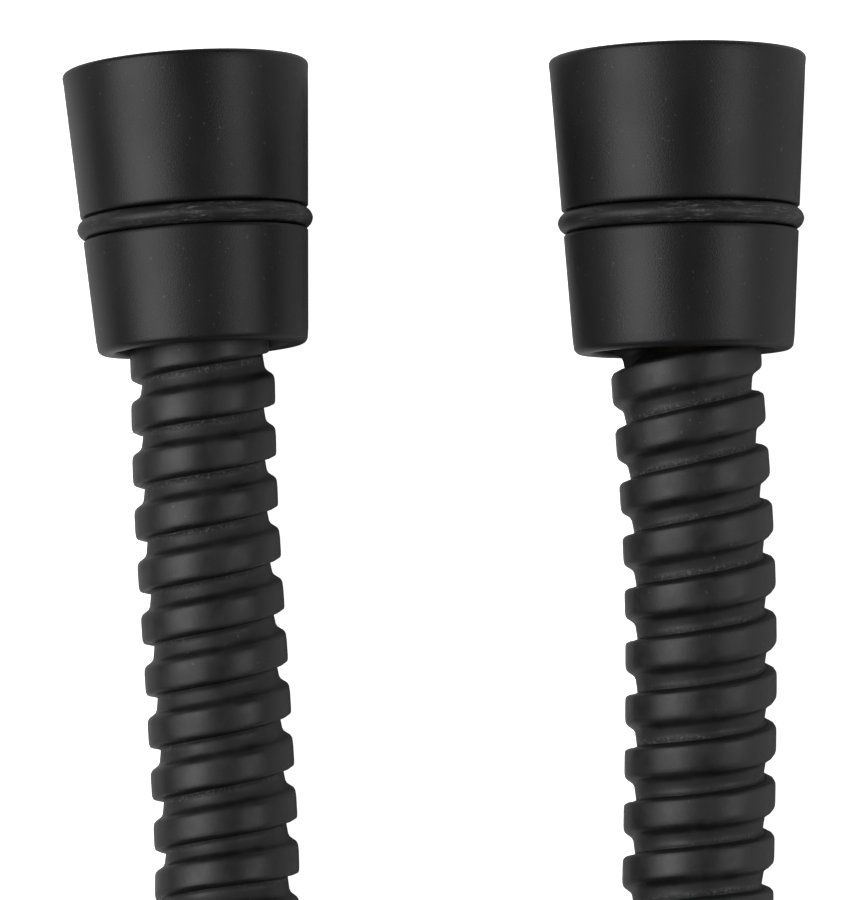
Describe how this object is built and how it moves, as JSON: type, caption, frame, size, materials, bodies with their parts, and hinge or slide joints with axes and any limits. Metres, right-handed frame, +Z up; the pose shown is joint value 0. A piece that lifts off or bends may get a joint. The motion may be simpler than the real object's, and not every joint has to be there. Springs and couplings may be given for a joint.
{
  "type": "shower hose",
  "caption": "Flexible spiral metal jacket hose with a conical swivel nut and rubber grip ring at each end, joining a hand shower to a wall outlet or mixer.",
  "frame": {"origin": "on the surface that the hose lies on, in the middle of the box round its two end fittings", "axes": "+X runs from the left end fitting to the right one, +Y is the way both nut mouths face, +Z is up; the coil of spare hose lies towards -Y"},
  "size_m": [0.1624, 0.2648, 0.045],
  "materials": {
    "nut": "matte black powder coat",
    "o_ring": "dusty matte rubber",
    "washer": "soft matte rubber",
    "stem": "turned brass",
    "slip_ring": "smooth low-friction plastic",
    "liner": "smooth flexible tube",
    "ferrule": "crimped plain steel",
    "jacket": "matte black coated steel strip",
    "tie": "matte black strap"
  },
  "bodies": {
    "hose": {"left_washer": "washer", "left_stem": "stem", "left_slip_ring": "slip_ring", "left_liner": "liner", "left_ferrule": "ferrule", "left_hose": "jacket", "right_washer": "washer", "right_stem": "stem", "right_slip_ring": "slip_ring", "right_liner": "liner", "right_ferrule": "ferrule", "right_hose": "jacket", "hose_coil": "jacket", "left_tie": "tie", "right_tie": "tie"},
    "left_swivel": {"left_nut": "nut", "left_o_ring": "o_ring"},
    "right_swivel": {"right_nut": "nut", "right_o_ring": "o_ring"}
  },
  "joints": [
    {"name": "left_nut_swivel", "type": "hinge", "parent": "hose", "child": "left_swivel", "pos_m": [-0.02464, -0.00018, 0.01171], "axis": [-0.0575, 0.9977, 0.0363], "continuous": true},
    {"name": "right_nut_swivel", "type": "hinge", "parent": "hose", "child": "right_swivel", "pos_m": [0.02558, -0.00203, 0.01171], "axis": [-0.0087, 0.9993, 0.0363], "continuous": true}
  ]
}
